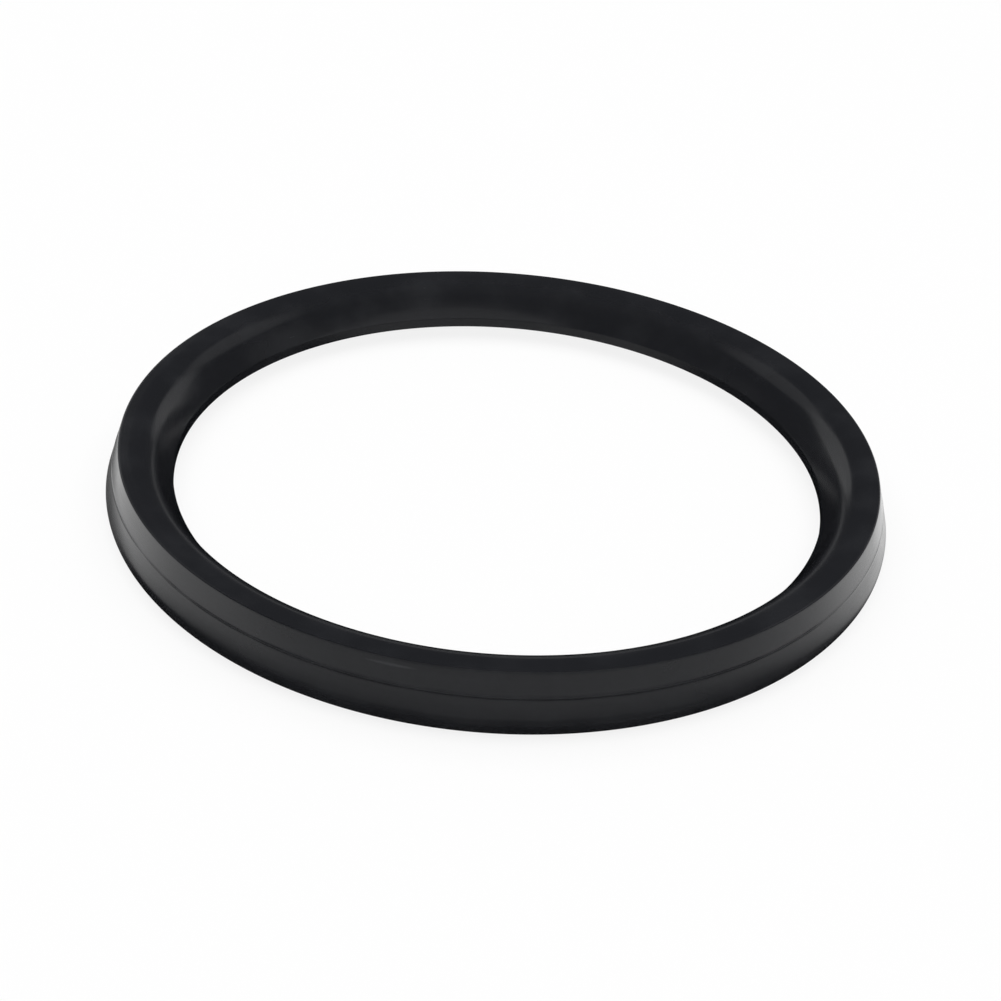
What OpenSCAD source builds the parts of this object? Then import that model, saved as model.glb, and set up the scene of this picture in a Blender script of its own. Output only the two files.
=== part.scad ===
// Moulded rubber seal ring: one closed ring with a profiled section.
// The section has a straight outer wall that flares outward towards the heel, a narrow
// flat land and a broad crown on top, and a thin lip that points in to the bore.
// Millimetres, +Z up. The origin is on the ring's axis, in the plane that the heel rests on.

/* [Ring] */

// widest diameter, over the heel
outer_diameter = 120; // [110:1:140]

// radial width of the section, from the heel to the lip
section_width = 10; // [9:0.5:12]

// height of the section, from the foot to the land
section_height = 10; // [9:0.5:12]

// straight steps round the ring in a plain preview
ring_steps = 144; // [72:12:180]

/* [Outer wall] */

// how far the top outer edge stands in from the widest point
wall_set_in = 2.14; // [1.5:0.1:2.5]

// small bevel that the mould leaves on the top outer edge
edge_bevel = 0.3; // [0.2:0.1:0.5]

// rounding from the wall round to the foot
heel_radius = 2.75; // [2:0.25:3]

// width of the flat foot that the ring rests on
foot_width = 0.6; // [0.4:0.1:1]

/* [Top] */

// width of the flat land at the top, bevel included
land_width = 1.46; // [1:0.1:2]

// radius of the crown between the land and the inner slope
crown_radius = 5.36; // [4.5:0.1:5.8]

/* [Lip] */

// length of the straight band round the bore
band_length = 1.4; // [1:0.1:2]

// height of the band's top above the foot
band_top = 4.3; // [4:0.1:4.5]

// rounding under the band
lip_radius = 0.3; // [0.2:0.05:0.4]

/* [Parting line] */

// height of the mould's parting line above the foot
parting_height = 6.5; // [5.5:0.1:7.5]

// how far the parting line stands out of the wall
parting_ridge = 0.08; // [0.05:0.01:0.1]

/* [Hidden] */

heel_outer = outer_diameter / 2;
bore_radius = heel_outer - section_width;

heel_centre = [heel_outer - heel_radius, heel_radius];
top_edge = [heel_outer - wall_set_in, section_height];
crown_centre = [top_edge[0] - land_width, section_height - crown_radius];
band_upper = [bore_radius, band_top];
lip_centre = [bore_radius + lip_radius, band_top - band_length];
foot_inner = [heel_centre[0] - foot_width, 0];

// a straight side runs this far inside the rounding that it meets
side_bite = 0.002;

// Direction from one point to another.
function bearing(from, to) = atan2(to[1] - from[1], to[0] - from[0]);

// Point where a straight side from an outside point meets a rounding, touching it.
// Of the two such points, it takes the one clockwise of the outside point.
function touch_point(centre, radius, outside) =
    let (
        inner = radius - side_bite,
        angle = bearing(centre, outside) - acos(inner / norm(outside - centre))
    )
    centre + inner * [cos(angle), sin(angle)];

wall_foot = touch_point(heel_centre, heel_radius, top_edge);
slope_top = touch_point(crown_centre, crown_radius, band_upper);
under_start = touch_point(lip_centre, lip_radius, foot_inner);

// unit steps up along the outer wall and straight out of it
wall_step = (top_edge - wall_foot) / norm(top_edge - wall_foot);
wall_out = [wall_step[1], -wall_step[0]];

// point of the wall on the parting line
parting_foot = wall_foot + wall_step * (parting_height - wall_foot[1]) / wall_step[1];

// The section's straight sides. Where a rounding comes between two of them, the outline
// turns in to the rounding's centre.
module section_sides() {
    polygon([
        foot_inner,
        [heel_centre[0], 0],
        heel_centre,
        wall_foot,
        top_edge - edge_bevel * wall_step,
        top_edge - [edge_bevel, 0],
        [crown_centre[0], section_height],
        crown_centre,
        slope_top,
        band_upper,
        [bore_radius, lip_centre[1]],
        lip_centre,
        under_start
    ]);
}

// The crown: the part of its circle above the band and inside the land.
module crown() {
    intersection() {
        translate(crown_centre) circle(r = crown_radius, $fn = 96);
        translate(band_upper)
            square([top_edge[0] - edge_bevel - bore_radius, section_height]);
    }
}

// The fine ridge left on the wall where the two halves of the mould meet. It is a low
// wedge, four times as wide as it is high where it comes out of the wall.
module parting_line() {
    root = parting_foot - parting_ridge * wall_out;
    polygon([
        root + 4 * parting_ridge * wall_step,
        root - 4 * parting_ridge * wall_step,
        parting_foot + parting_ridge * wall_out
    ]);
}

// The ring's section, to the right of the axis.
module ring_section() {
    section_sides();
    crown();
    translate(heel_centre) circle(r = heel_radius, $fn = 96);
    translate(lip_centre) circle(r = lip_radius, $fn = 48);
    parting_line();
}

// The whole seal: its section turned once about the axis.
module seal_ring() {
    color("#2b2c30")
        rotate_extrude($fn = ring_steps) ring_section();
}

seal_ring();
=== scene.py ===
import math

import bpy
import numpy as np
from mathutils import Matrix, Vector


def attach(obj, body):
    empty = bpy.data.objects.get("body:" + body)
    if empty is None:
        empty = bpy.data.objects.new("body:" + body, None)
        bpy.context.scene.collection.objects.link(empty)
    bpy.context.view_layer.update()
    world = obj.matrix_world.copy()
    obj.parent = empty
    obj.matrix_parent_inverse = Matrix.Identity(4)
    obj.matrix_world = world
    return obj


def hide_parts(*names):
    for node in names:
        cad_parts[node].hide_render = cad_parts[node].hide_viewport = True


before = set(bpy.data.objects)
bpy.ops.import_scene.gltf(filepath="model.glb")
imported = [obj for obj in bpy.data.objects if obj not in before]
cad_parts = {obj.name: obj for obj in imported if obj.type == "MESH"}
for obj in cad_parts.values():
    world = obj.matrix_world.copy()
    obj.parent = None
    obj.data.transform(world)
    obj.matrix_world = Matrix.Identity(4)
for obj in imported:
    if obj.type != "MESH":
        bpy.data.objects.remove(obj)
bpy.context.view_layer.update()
print("frame loaded:", ", ".join(sorted(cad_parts)))

mm = 0.001
fullTurn = 2 * math.pi

# A Mix node's sockets repeat their names for each kind of data, so they go by their places.
valueA, valueB, valueOut = 2, 3, 0
colourA, colourB, colourOut = 6, 7, 2


# sRGB hex to linear: each byte through the standard curve
def linearColour(hexText):
    shares = np.array([int(hexText[i:i + 2], 16) for i in (1, 3, 5)]) / 255
    low = shares / 12.92
    high = ((shares + 0.055) / 1.055) ** 2.4
    return (*np.where(shares <= 0.04045, low, high).tolist(), 1.0)


# adds a shader node, sets its values by socket or property, and joins its inputs
def addNode(tree, kind, values=None, links=None, **props):
    node = tree.nodes.new(kind)
    for name, value in props.items():
        setattr(node, name, value)
    for name, value in (values or {}).items():
        node.inputs[name].default_value = value
    for name, source in (links or {}).items():
        tree.links.new(source, node.inputs[name])
    return node


# a smooth mesh object from arrays of points and faces, with a UV for each corner if given
def meshObject(name, points, faces, cornerUv=None):
    mesh = bpy.data.meshes.new(name)
    mesh.from_pydata(points.tolist(), [], faces.tolist())
    mesh.polygons.foreach_set("use_smooth", np.ones(len(faces), bool))
    if cornerUv is not None:
        layer = mesh.uv_layers.new(name="alongAndAcross")
        layer.data.foreach_set("uv", cornerUv.astype(np.float32).ravel())
    mesh.update()
    thing = bpy.data.objects.new(name, mesh)
    bpy.context.scene.collection.objects.link(thing)
    return thing


# the angles of even steps once round the axis
def stepsRound(count):
    return np.linspace(0, fullTurn, count, endpoint=False)


# turned about the axis: x is radius times cosine, y is radius times sine, z is the height
def turnedPoints(radius, height, turn):
    return np.stack([radius * np.cos(turn), radius * np.sin(turn), height + 0 * turn], -1)


# Quads between lines of points that stand side by side all the way round the axis. Each goes
# from a point to the next line, up that line and back. The last line joins the first, and a
# closed line's last point joins its own first.
def turnedQuads(lines, pointsEach, closed):
    starts = np.arange(pointsEach if closed else pointsEach - 1)
    i, j = np.meshgrid(np.arange(lines), starts, indexing="ij")
    here, ahead = i * pointsEach, (i + 1) % lines * pointsEach
    up = (j + 1) % pointsEach
    return np.stack([here + j, ahead + j, ahead + up, here + up], -1).reshape(-1, 4)


# Camera

photoView = {
    "distance": 260.4 * mm,     # from the middle of the top outer edge
    "aimHeight": 10 * mm,
    "elevation": 30.71,         # degrees above the ring's plane
    "yaw": 0.12,
    "pitch": 2.24,
    "roll": 4.52,
    "focalPixels": 1689.0,      # on a frame 1001 pixels wide
    "framePixels": 1001,
    "sensorWidth": 36,
    "clip": (0.01, 20),
}


# Camera on the -Y side at a distance and elevation, looking at the aim point, then turned by
# yaw, pitch and roll about its own axes.
def placeCamera(view):
    e = math.radians(view["elevation"])
    place = Vector((0, -math.cos(e), math.sin(e))) * view["distance"]
    forward = -place.normalized()
    right = Vector((1, 0, 0))
    axes = Matrix((right, forward.cross(right), forward))  # right, down, forward
    yaw, pitch, roll = (math.radians(view[name]) for name in ("yaw", "pitch", "roll"))
    turned = (Matrix.Rotation(roll, 3, "Z") @ Matrix.Rotation(pitch, 3, "X")
              @ Matrix.Rotation(-yaw, 3, "Y") @ axes)
    pose = Matrix((turned[0], -turned[1], -turned[2])).transposed().to_4x4()
    pose.translation = place + Vector((0, 0, view["aimHeight"]))
    data = bpy.data.cameras.new("photoCamera")
    data.sensor_width = view["sensorWidth"]
    data.lens = view["focalPixels"] / view["framePixels"] * data.sensor_width
    data.clip_start, data.clip_end = view["clip"]
    camera = bpy.data.objects.new("photoCamera", data)
    camera.matrix_world = pose
    bpy.context.scene.collection.objects.link(camera)
    bpy.context.scene.camera = camera


placeCamera(photoView)
print("camera placed")

# Moulded ring

ring = {
    "outerRadius": 60.0,        # millimetres, as in the part's source
    "boreRadius": 50.0,
    "height": 10.0,
    "wallSetIn": 2.14,
    "edgeRound": 0.28,          # the crisp top outer edge
    "heelRadius": 2.75,
    "footWidth": 0.6,
    "footRound": 0.25,
    "landWidth": 1.46,
    "crownRadius": 5.36,
    "slopeRadius": 30.0,        # bulges the slope by 0.06 at its middle
    "bandLength": 1.4,
    "bandTop": 4.3,
    "bandRound": 0.35,          # where the slope turns into the band
    "lipRadius": 0.3,
    "partingHeight": 6.5,
    "partingWidth": 0.30,
    "partingProud": 0.032,
    "partingReach": 0.75,       # close rows cross it from this many widths below to as many above
    "swellWaves": (7, 23),      # its height swells by one wave round the ring times another,
    "swellShare": 0.25,
    "rippleWaves": 61,          # and has a fine ripple
    "rippleShare": 0.15,
    "waveStarts": (0.6, 0, 2),  # radians, of the two swelling waves and of the ripple
    "wallTolerance": 0.01,      # a point this close to the wall's line lies on the wall
    "stepsRound": 640,
    "stepLength": 0.30,         # longest step along the section
    # points along each rounding, and rows across the parting line
    "points": {"foot": 4, "heel": 22, "edge": 8, "crown": 26, "slope": 12, "band": 4, "lip": 6,
               "parting": 9},
}


# The point where a line from an outside point touches a circle, clockwise of that point. Seen
# from the centre, the angle between the two has the cosine radius over distance.
def touchPoint(centre, radius, outside):
    d = outside - centre
    angle = math.atan2(d[1], d[0]) - math.acos(radius / math.hypot(*d))
    return centre + radius * np.array([math.cos(angle), math.sin(angle)])


# points of an arc about a centre, anticlockwise from one point to another
def arcPoints(centre, start, stop, count):
    a = math.atan2(*(start - centre)[::-1])
    b = math.atan2(*(stop - centre)[::-1])
    angles = np.linspace(a, b if b > a else b + fullTurn, count)
    return centre + np.hypot(*(start - centre)) * np.stack([np.cos(angles), np.sin(angles)], 1)


# The slope below the crown: an arc that leaves the crown smoothly and ends at a point. Its
# centre lies behind the crown's, by the difference of the two radii. Cosine rule: the angle
# between the way to the end and the way to the meeting point comes from the three sides.
def bulgedSlope(crownCentre, crownRadius, slopeRadius, end, count):
    d = end - crownCentre
    behind = slopeRadius - crownRadius
    share = (slopeRadius ** 2 - behind ** 2 - d @ d) / (2 * behind * math.hypot(*d))
    angle = math.atan2(d[1], d[0]) - math.acos(share)
    out = np.array([math.cos(angle), math.sin(angle)])
    start = crownCentre + crownRadius * out
    return start, arcPoints(crownCentre - behind * out, start, end, count)


# A corner rounded by an arc that touches both of its sides. Its centre lies on the line that
# halves the corner, at radius over the sine of half the angle.
def roundedCorner(before, corner, after, radius, count):
    u = (before - corner) / np.hypot(*(before - corner))
    w = (after - corner) / np.hypot(*(after - corner))
    half = math.acos(np.clip(u @ w, -1, 1)) / 2
    centre = corner + (u + w) / np.hypot(*(u + w)) * radius / math.sin(half)
    reach = radius / math.tan(half)
    return arcPoints(centre, corner + u * reach, corner + w * reach, count)


# A closed line with its long stretches cut into even steps: from each corner on, every step
# goes the same share of the way to the next corner.
def cutEvenly(corners, longest):
    way = np.roll(corners, -1, 0) - corners
    steps = np.maximum(1, np.ceil(np.hypot(*way.T) / longest)).astype(int)
    done = np.concatenate([np.arange(count) for count in steps])[:, None]
    total = np.repeat(steps, steps)[:, None]
    return np.repeat(corners, steps, 0) + np.repeat(way, steps, 0) * done / total


# The section as one closed line in (radius, height), anticlockwise from the foot, and the
# wall's foot and top. Its circles and touching lines are the solid's, but the slope bulges a
# little, and the foot's inner edge, the top outer edge and the band's upper edge are rounded.
def sectionLine(s):
    heelCentre = np.array([s["outerRadius"] - s["heelRadius"], s["heelRadius"]])
    topEdge = np.array([s["outerRadius"] - s["wallSetIn"], s["height"]])
    crownCentre = np.array([topEdge[0] - s["landWidth"], s["height"] - s["crownRadius"]])
    landInner = np.array([crownCentre[0], s["height"]])
    bandUpper = np.array([s["boreRadius"], s["bandTop"]])
    bandLower = np.array([s["boreRadius"], s["bandTop"] - s["bandLength"]])
    lipCentre = bandLower + np.array([s["lipRadius"], 0])
    footOuter = np.array([heelCentre[0], 0.0])
    footInner = footOuter - np.array([s["footWidth"], 0])
    wallFoot = touchPoint(heelCentre, s["heelRadius"], topEdge)
    underStart = touchPoint(lipCentre, s["lipRadius"], footInner)
    count = s["points"]
    slopeTop, slope = bulgedSlope(crownCentre, s["crownRadius"], s["slopeRadius"], bandUpper,
                                  count["slope"])
    corners = np.concatenate([
        roundedCorner(underStart, footInner, footOuter, s["footRound"], count["foot"]),
        arcPoints(heelCentre, footOuter, wallFoot, count["heel"]),
        roundedCorner(wallFoot, topEdge, landInner, s["edgeRound"], count["edge"]),
        arcPoints(crownCentre, landInner, slopeTop, count["crown"])[:-1],
        slope[:-1],
        roundedCorner(slope[-2], bandUpper, bandLower, s["bandRound"], count["band"])[1:],
        arcPoints(lipCentre, bandLower, underStart, count["lip"]),
    ])
    return cutEvenly(corners, s["stepLength"]), wallFoot, topEdge


# The section with close rows across the parting line, in place of the wall's own points near
# it, and how far each point stands out there: a smooth bump in the distance along the wall,
# the exponential of minus its square, in half widths. Gives the way out of the wall too.
def partedSection(s):
    line, wallFoot, topEdge = sectionLine(s)
    up = (topEdge - wallFoot) / np.hypot(*(topEdge - wallFoot))
    out = np.array([up[1], -up[0]])
    parting = (s["partingHeight"] - wallFoot[1]) / up[1]

    # signed distance from the parting line along the wall, and whether a point is on the wall
    def onWall(points):
        off = points - wallFoot
        return off @ up - parting, np.abs(off @ out) < s["wallTolerance"]

    above, wall = onWall(line)
    near = wall & (np.abs(above) < s["partingWidth"])
    reach = np.linspace(-s["partingReach"], s["partingReach"], s["points"]["parting"])[:, None]
    rows = wallFoot + up * (parting + s["partingWidth"] * reach)
    line = np.insert(line[~near], int(np.argmax(near)), rows, axis=0)
    above, wall = onWall(line)
    bump = np.where(wall, np.exp(-(above / (s["partingWidth"] / 2)) ** 2), 0)
    return line, bump, out


# The parting line's height round the ring, about a mean of 1: flash tears off a little unevenly.
def flashHeight(turn, s):
    first, second, ripple = s["waveStarts"]
    swell = np.sin(s["swellWaves"][0] * turn + first) * np.sin(s["swellWaves"][1] * turn + second)
    return (1 + s["swellShare"] * swell
            + s["rippleShare"] * np.sin(s["rippleWaves"] * turn + ripple))


# UVs for the quads' corners: once round is 0 to 1 across, once along the section 0 to 1 up.
def ringUvs(lines, way):
    i, j = np.meshgrid(np.arange(lines), np.arange(len(way) - 1), indexing="ij")
    across = np.stack([i, i + 1, i + 1, i], -1) / lines
    up = way[np.stack([j, j, j + 1, j + 1], -1)]
    return np.stack([across, up], -1).reshape(-1, 2)


# The ring: its section turned about the axis, with the bump of the parting line moved out of
# the wall by its height at each angle. Gives the ring, the parting line's place along the
# section as a share of it, and the section's length.
def buildRing(s):
    line, bump, out = partedSection(s)
    turn = stepsRound(s["stepsRound"])
    proud = (s["partingProud"] * flashHeight(turn, s))[:, None, None]
    grid = line + bump[:, None] * out * proud
    points = turnedPoints(grid[..., 0], grid[..., 1], turn[:, None]).reshape(-1, 3) * mm
    step = np.hypot(*(np.roll(line, -1, 0) - line).T)
    way = np.concatenate([[0], np.cumsum(step)]) / step.sum()
    thing = meshObject("moulded_ring", points, turnedQuads(len(turn), len(line), closed=True),
                       ringUvs(len(turn), way))
    return thing, float(way[int(np.argmax(bump))]), float(step.sum())


sealRing, partingShare, sectionLength = buildRing(ring)
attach(sealRing, "root")
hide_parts("seal_ring")
print("ring built:", len(sealRing.data.polygons), "quads")

# Rubber

rubber = {
    "base": "#1f2023",
    "bloom": "#252629",         # the greyer film that rubber sweats out as it ages
    "bloomRange": (0.42, 0.72),  # noise levels between which it comes in
    "roughness": 0.17,
    "roughnessSpread": 0.07,
    "marksRange": (0.3, 0.7),   # noise levels of the marks over which the roughness spreads
    "ior": 1.5,
    "bloomSize": 9.0,           # millimetres, as all the sizes and depths here
    "smearSize": 2.6,
    "grainSize": 0.45,
    "turnedPitch": 0.16,        # spacing of the lathe marks that the mould prints on the ring
    "turnedLength": 16.0,
    "smearDepth": 0.004,
    "turnedDepth": 0.0008,
    "grainDepth": 0.004,
    "details": {"bloom": 4.0, "smear": 3.0, "grain": 2.0, "turned": 2.0},  # of each noise
    "midRadius": 56.0,          # of the ring, for lengths along it
    "paintedHighlightTurn": 258.3 / 360,   # a painted highlight, a pale patch under the top edge: its place as a share of the turn
    "paintedHighlightAbove": 2.6,          # from the parting line up the wall
    "paintedHighlightLength": 8.0,
    "paintedHighlightWidth": 0.6,
    "paintedHighlightCore": 0.2,           # share of its half size that is rubbed all over
    "paintedHighlightRange": (0.3, 0.6),   # noise levels of the marks between which the painted highlight shows
    "paintedHighlightColour": "#3e3f42",
    "tornWidth": 0.14,          # half the width of the matt line where the flash was torn off
    "tornRoughness": 0.35,
}


# The lathe marks: noise drawn out along the ring and tight across its section. The way round
# is bent into a circle by its cosine and sine, so that the marks close on themselves.
def latheMarks(tree, way, s):
    angle = addNode(tree, "ShaderNodeMath", {1: fullTurn}, {0: way["X"]}, operation="MULTIPLY")
    bent = [addNode(tree, "ShaderNodeMath", {}, {0: angle.outputs[0]}, operation=wave).outputs[0]
            for wave in ("COSINE", "SINE")]
    place = addNode(tree, "ShaderNodeCombineXYZ", {}, {0: bent[0], 1: bent[1], 2: way["Y"]})
    around = s["midRadius"] / s["turnedLength"]
    across = sectionLength / s["turnedPitch"]
    marks = addNode(tree, "ShaderNodeVectorMath", {1: (around, around, across)},
                    {0: place.outputs[0]}, operation="MULTIPLY")
    return addNode(tree, "ShaderNodeTexNoise", {"Scale": 1.0, "Detail": s["details"]["turned"]},
                   {"Vector": marks.outputs[0]}).outputs["Fac"]


# The painted highlight: a pale oval on the wall, from the distance to its middle counted in half
# lengths and half widths. It fades out from its core and is broken into streaks by the marks.
def paintedHighlightShare(tree, uv, marks, s):
    middle = (s["paintedHighlightTurn"], partingShare + s["paintedHighlightAbove"] / sectionLength, 0)
    halves = (fullTurn * s["midRadius"] / s["paintedHighlightLength"] * 2,
              sectionLength / s["paintedHighlightWidth"] * 2, 0)
    off = uv
    for operation, value in (("SUBTRACT", middle), ("MULTIPLY", halves)):
        off = addNode(tree, "ShaderNodeVectorMath", {1: value}, {0: off},
                      operation=operation).outputs[0]
    distance = addNode(tree, "ShaderNodeVectorMath", {}, {0: off}, operation="LENGTH")
    oval = addNode(tree, "ShaderNodeMapRange", {"From Min": 1.0, "From Max": s["paintedHighlightCore"]},
                   {"Value": distance.outputs["Value"]}, interpolation_type="SMOOTHSTEP")
    low, high = s["paintedHighlightRange"]
    streaks = addNode(tree, "ShaderNodeMapRange", {"From Min": low, "From Max": high},
                      {"Value": marks})
    return addNode(tree, "ShaderNodeMath", {}, {0: oval.outputs[0], 1: streaks.outputs[0]},
                   operation="MULTIPLY").outputs[0]


# The torn line: 1 on the parting line, fading to 0 at half its width.
def tornShare(tree, way, s):
    off = addNode(tree, "ShaderNodeMath", {1: partingShare}, {0: way["Y"]}, operation="SUBTRACT")
    off = addNode(tree, "ShaderNodeMath", {}, {0: off.outputs[0]}, operation="ABSOLUTE")
    return addNode(tree, "ShaderNodeMapRange",
                   {"From Min": s["tornWidth"] / sectionLength, "From Max": 0.0},
                   {"Value": off.outputs[0]}, interpolation_type="SMOOTHSTEP").outputs[0]


# Nitrile rubber pressed in a turned and polished steel mould. To the eye it is near black
# with a soft gloss, crossed by hair-fine lines that run round the ring, a fine grain, and
# cloudy patches where the bloom makes it a little greyer and duller.
def nitrileRubber(s):
    material = bpy.data.materials.new("mouldedNitrileRubber")
    material.use_nodes = True
    tree = material.node_tree
    shader = tree.nodes["Principled BSDF"]
    shader.inputs["IOR"].default_value = s["ior"]
    place = addNode(tree, "ShaderNodeTexCoord").outputs["Object"]
    uv = addNode(tree, "ShaderNodeUVMap", uv_map="alongAndAcross").outputs[0]
    way = addNode(tree, "ShaderNodeSeparateXYZ", {}, {0: uv}).outputs

    marks = latheMarks(tree, way, s)
    grain, smear, patches = (
        addNode(tree, "ShaderNodeTexNoise",
                {"Scale": 1 / (s[name + "Size"] * mm), "Detail": s["details"][name]},
                {"Vector": place}).outputs["Fac"]
        for name in ("grain", "smear", "bloom"))

    # colour: greyer where the bloom is, paler where a highlight is painted under the top edge
    low, high = s["bloomRange"]
    film = addNode(tree, "ShaderNodeMapRange", {"From Min": low, "From Max": high},
                   {"Value": patches}, interpolation_type="SMOOTHSTEP").outputs[0]
    colour = addNode(tree, "ShaderNodeMix",
                     {colourA: linearColour(s["base"]), colourB: linearColour(s["bloom"])},
                     {"Factor": film}, data_type="RGBA").outputs[colourOut]
    # painted highlight: a pale patch mixed into the colour under the top edge of the wall
    colour = addNode(tree, "ShaderNodeMix", {colourB: linearColour(s["paintedHighlightColour"])},
                     {"Factor": paintedHighlightShare(tree, uv, marks, s), colourA: colour},
                     data_type="RGBA").outputs[colourOut]
    tree.links.new(colour, shader.inputs["Base Color"])

    # gloss: duller under the bloom, along the marks and where the flash was torn off
    low, high = s["marksRange"]
    half = s["roughnessSpread"] / 2
    rough = addNode(tree, "ShaderNodeMapRange",
                    {"From Min": low, "From Max": high,
                     "To Min": s["roughness"] - half, "To Max": s["roughness"] + half},
                    {"Value": marks}).outputs[0]
    rough = addNode(tree, "ShaderNodeMath", {1: s["roughnessSpread"]}, {0: film, 2: rough},
                    operation="MULTIPLY_ADD").outputs[0]
    rough = addNode(tree, "ShaderNodeMix", {valueB: s["tornRoughness"]},
                    {"Factor": tornShare(tree, way, s), valueA: rough},
                    data_type="FLOAT").outputs[valueOut]
    tree.links.new(rough, shader.inputs["Roughness"])

    # relief: the shallow waves of the polished mould, the marks and the grain, each as deep as
    # it is named
    normal = None
    for name, height in (("smear", smear), ("turned", marks), ("grain", grain)):
        bump = addNode(tree, "ShaderNodeBump",
                       {"Strength": 1.0, "Distance": s[name + "Depth"] * mm}, {"Height": height})
        if normal:
            tree.links.new(normal, bump.inputs["Normal"])
        normal = bump.outputs[0]
    tree.links.new(normal, shader.inputs["Normal"])
    return material


sealRing.data.materials.append(nitrileRubber(rubber))
print("rubber made")

# Paper floor and backdrop

studio = {
    "paper": "#fbfbfb",
    "paperRoughness": 0.95,
    "glow": 0.86,               # share of plain white in what the camera sees of the paper
    "wallGlow": 0.95,           # more of it on the backdrop, where no shadow falls
    "paintedCloseShadeCentre": (-2.5 * mm, 0, 0),       # in the gloss the paper carries painted shade close to the heel,
    "paintedCloseShadeRadii": (62 * mm, 66.5 * mm),     # on the left most
    "shadeCentre": (1 * mm, -43 * mm, 0),   # and a painted copy of the ring's shade, which lies to the front
    "shadeRadii": (52 * mm, 65 * mm),
    "paintedFrontShadeWay": (0.2, -0.98, 0),            # painted shade: it dims from the ring's middle forward
    "paintedFrontShadeReach": (25 * mm, 100 * mm),
    "paintedFrontShadeLevel": 0.54,
    "paintedFarShadeRadii": (180 * mm, 500 * mm),       # and far from the ring,
    "darkLevel": 0.12,
    "paintedLightEndCentres": ((-72 * mm, -14 * mm, 0), (74 * mm, -10 * mm, 0)),
    "paintedLightEndRadii": (8 * mm, 32 * mm),          # and painted light makes it brightest beside the ring's two ends
    "paintedLightEndLevel": 1.35,
    "paintedLightHoleCentre": (0, 48 * mm, 0),          # within the ring, a painted patch of light lies at the back of the hole
    "paintedLightHoleRadii": (18 * mm, 34 * mm),
    "paintedLightHoleLevel": 0.35,
    "splitRadius": 57 * mm,     # under the foot of the ring, so no view shows the split
    "floorStep": 0.3,           # radius of a ring of points between the split and the edge
    "floorRadius": 1.6,
    "coveRadius": 0.5,
    "covePoints": 14,
    "wallHeight": 1.6,
    "sidesRound": 128,
}


# a level that goes smoothly from one value to another between two distances from a centre
def ramp(tree, place, centre, ends, levels):
    distance = addNode(tree, "ShaderNodeVectorMath", {1: centre}, {0: place}, operation="DISTANCE")
    return addNode(tree, "ShaderNodeMapRange",
                   {"From Min": ends[0], "From Max": ends[1],
                    "To Min": levels[0], "To Max": levels[1]},
                   {"Value": distance.outputs["Value"]}, interpolation_type="SMOOTHSTEP").outputs[0]


# White that the gloss sees round the ring, painted with shade and light: a painted dimming along
# the way forward, times painted shades close to the ring, the painted fall far from it and the two
# painted bright patches at its ends.
def paintedGlossLevelOutside(tree, place, s):
    # painted shade: the gloss sees the paper dimmed forward, close to the heel, in a copy of the
    # ring's shade and far off
    forward = addNode(tree, "ShaderNodeVectorMath", {1: s["paintedFrontShadeWay"]}, {0: place},
                      operation="DOT_PRODUCT").outputs["Value"]
    level = addNode(tree, "ShaderNodeMapRange",
                    {"From Min": s["paintedFrontShadeReach"][0], "From Max": s["paintedFrontShadeReach"][1],
                     "To Min": 1.0, "To Max": s["paintedFrontShadeLevel"]},
                    {"Value": forward}, interpolation_type="SMOOTHSTEP").outputs[0]
    ramps = [(s["paintedCloseShadeCentre"], s["paintedCloseShadeRadii"], (s["darkLevel"], 1)),
             (s["shadeCentre"], s["shadeRadii"], (s["darkLevel"], 1)),
             ((0, 0, 0), s["paintedFarShadeRadii"], (1, s["darkLevel"]))]
    # painted light: two bright patches beside the ring's ends, brighter than plain white in the
    # gloss
    ramps += [(centre, s["paintedLightEndRadii"], (s["paintedLightEndLevel"], 1)) for centre in s["paintedLightEndCentres"]]
    for centre, ends, levels in ramps:
        factor = ramp(tree, place, centre, ends, levels)
        level = addNode(tree, "ShaderNodeMath", {}, {0: level, 1: factor},
                        operation="MULTIPLY").outputs[0]
    return level


# white that the gloss sees through the hole: a painted soft patch of light at the back
def paintedGlossLevelInside(tree, place, s):
    return ramp(tree, place, s["paintedLightHoleCentre"], s["paintedLightHoleRadii"], (s["paintedLightHoleLevel"], 0))


# Matt white paper. The camera sees a mix of plain white and of the lit paper, so the ring's shadow
# stays but is faint. The gloss sees white that glows at a painted level, with painted shade and
# painted light from place to place.
def mattPaper(name, s, glow, paintedGlossLevel):
    material = bpy.data.materials.new(name)
    material.use_nodes = True
    tree = material.node_tree
    lit = tree.nodes["Principled BSDF"]
    lit.inputs["Base Color"].default_value = linearColour(s["paper"])
    lit.inputs["Roughness"].default_value = s["paperRoughness"]
    lit.inputs["Specular IOR Level"].default_value = 0.0
    place = addNode(tree, "ShaderNodeTexCoord").outputs["Object"]
    path = addNode(tree, "ShaderNodeLightPath").outputs
    camera = path["Is Camera Ray"]
    # the gloss sees white at a painted level: painted shade near the ring and painted light beside
    # it
    strength = addNode(tree, "ShaderNodeMix", {valueB: 1.0},
                       {"Factor": camera, valueA: paintedGlossLevel(tree, place, s)}, data_type="FLOAT")
    cameraShare = addNode(tree, "ShaderNodeMath", {1: glow}, {0: camera}, operation="MULTIPLY")
    glossShare = addNode(tree, "ShaderNodeMath", {},
                         {0: path["Is Glossy Ray"], 1: path["Is Transmission Ray"]},
                         operation="MAXIMUM")
    share = addNode(tree, "ShaderNodeMath", {},
                    {0: cameraShare.outputs[0], 1: glossShare.outputs[0]}, operation="MAXIMUM")
    white = addNode(tree, "ShaderNodeEmission", {"Color": (1, 1, 1, 1)},
                    {"Strength": strength.outputs[valueOut]})
    mix = addNode(tree, "ShaderNodeMixShader", {},
                  {0: share.outputs[0], 1: lit.outputs[0], 2: white.outputs[0]})
    tree.links.new(mix.outputs[0], tree.nodes["Material Output"].inputs["Surface"])
    return material


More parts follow.
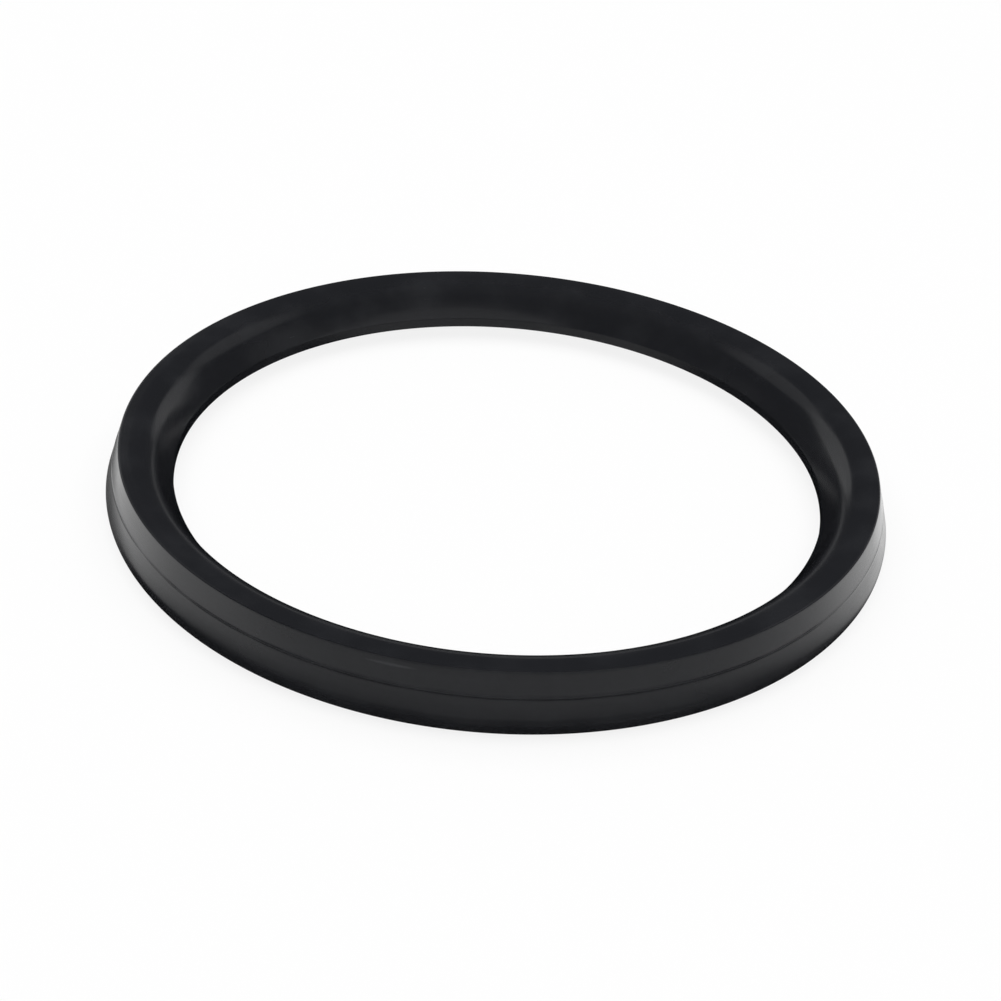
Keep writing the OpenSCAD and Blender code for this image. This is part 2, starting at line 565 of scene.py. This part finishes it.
# A sheet of paper: a line of (radius, height) turned about the axis, with its faces turned over
# to look up and in. Gloss and bounced light both see it, or neither does.
def turnedSheet(name, line, s, material, inLight):
    line = np.array(line)
    turn = stepsRound(s["sidesRound"])[:, None]
    points = turnedPoints(line[:, 0], line[:, 1], turn).reshape(-1, 3)
    quads = turnedQuads(len(turn), len(line), closed=False)[:, [0, 3, 2, 1]]
    sheet = meshObject(name, points, quads)
    sheet.data.materials.append(material)
    sheet.visible_glossy = inLight
    sheet.visible_diffuse = inLight


# a round sheet of one face
def paperDisc(name, radius, s, material):
    turn = stepsRound(s["sidesRound"])
    disc = meshObject(name, turnedPoints(radius, 0, turn), np.arange(len(turn))[None])
    disc.data.materials.append(material)


# The floor is a disc and a wide ring that meet under the foot, because the gloss sees them at
# painted levels of their own. A cove, a quarter circle, leads from it up to the round wall.
def layPaper(s):
    paperOutside = mattPaper("mattWhitePaper", s, s["glow"], paintedGlossLevelOutside)
    paperInside = mattPaper("mattWhitePaperInTheHole", s, s["glow"], paintedGlossLevelInside)
    paperWall = mattPaper("mattWhitePaperWall", s, s["wallGlow"], paintedGlossLevelOutside)
    split, flat, bend = s["splitRadius"], s["floorRadius"], s["coveRadius"]
    arc = np.linspace(-math.pi / 2, 0, s["covePoints"])
    cove = [(flat + bend * math.cos(a), bend + bend * math.sin(a)) for a in arc]
    paperDisc("floorInside", split, s, paperInside)
    turnedSheet("floorOutside", [(split, 0), (s["floorStep"], 0), (flat, 0)], s, paperOutside, True)
    turnedSheet("backdrop", cove + [(flat + bend, s["wallHeight"])], s, paperWall, False)


layPaper(studio)
print("paper laid")

# Lamps and room

lamps = {
    # azimuth from straight behind, elevation, distance, width, height, tilt, radiance, shape
    "topBox": (0, 90, 1.5, 2.4, 2.4, 0, 2.0, "RECTANGLE"),
    "backLeftBox": (-33, 18.5, 1.2, 0.69, 0.64, 0, 0.5, "ELLIPSE"),
    "backRightBox": (35, 15.5, 1.2, 0.6, 0.58, 0, 0.44, "ELLIPSE"),
    "leftShoulder": (-58, 40, 1.3, 0.95, 0.65, 0, 0.26, "ELLIPSE"),
    "rightShoulder": (58, 40, 1.3, 0.95, 0.65, 0, 0.26, "ELLIPSE"),
    "backLowStrip": (0, 3.5, 1.2, 0.9, 0.14, 0, 0.2, "RECTANGLE"),
    "frontStrip": (180, 7, 1.25, 2.6, 0.2, 0, 0.45, "RECTANGLE"),
    "frontBox": (150, 24.5, 1.3, 2.9, 0.46, -10, 0.4, "ELLIPSE"),
    "leftFill": (-95, 12, 1.3, 0.9, 0.4, 0, 0.08, "ELLIPSE"),
    "rightFill": (95, 16, 1.3, 0.9, 0.5, 0, 0.14, "ELLIPSE"),
}
unseenInGloss = {"topBox"}
roomColour = (0.035, 0.035, 0.038, 1)  # linear: a dim room


# An area lamp at an azimuth and elevation, facing the ring and tilted about that line, with
# its power worked out from the radiance it shows: power = pi times area times radiance.
def addLamp(name, azimuth, elevation, distance, width, height, tilt, radiance, shape):
    a, e = math.radians(azimuth), math.radians(elevation)
    place = Vector((math.sin(a) * math.cos(e), math.cos(a) * math.cos(e), math.sin(e))) * distance
    data = bpy.data.lights.new(name, "AREA")
    data.shape, data.size, data.size_y = shape, width, height
    area = width * height * (math.pi / 4 if shape == "ELLIPSE" else 1)
    data.energy = math.pi * area * radiance
    lamp = bpy.data.objects.new(name, data)
    lamp.location = place
    facing = (-place).to_track_quat("-Z", "Y").to_matrix()
    lamp.rotation_euler = (facing @ Matrix.Rotation(math.radians(tilt), 3, "Z")).to_euler()
    lamp.visible_glossy = name not in unseenInGloss
    lamp.visible_camera = False
    bpy.context.scene.collection.objects.link(lamp)


for name, values in lamps.items():
    addLamp(name, *values)

world = bpy.data.worlds.new("dimRoom")
world.use_nodes = True
world.node_tree.nodes["Background"].inputs["Color"].default_value = roomColour
bpy.context.scene.world = world
bpy.context.scene.view_settings.view_transform = "Standard"
print("studio lit")
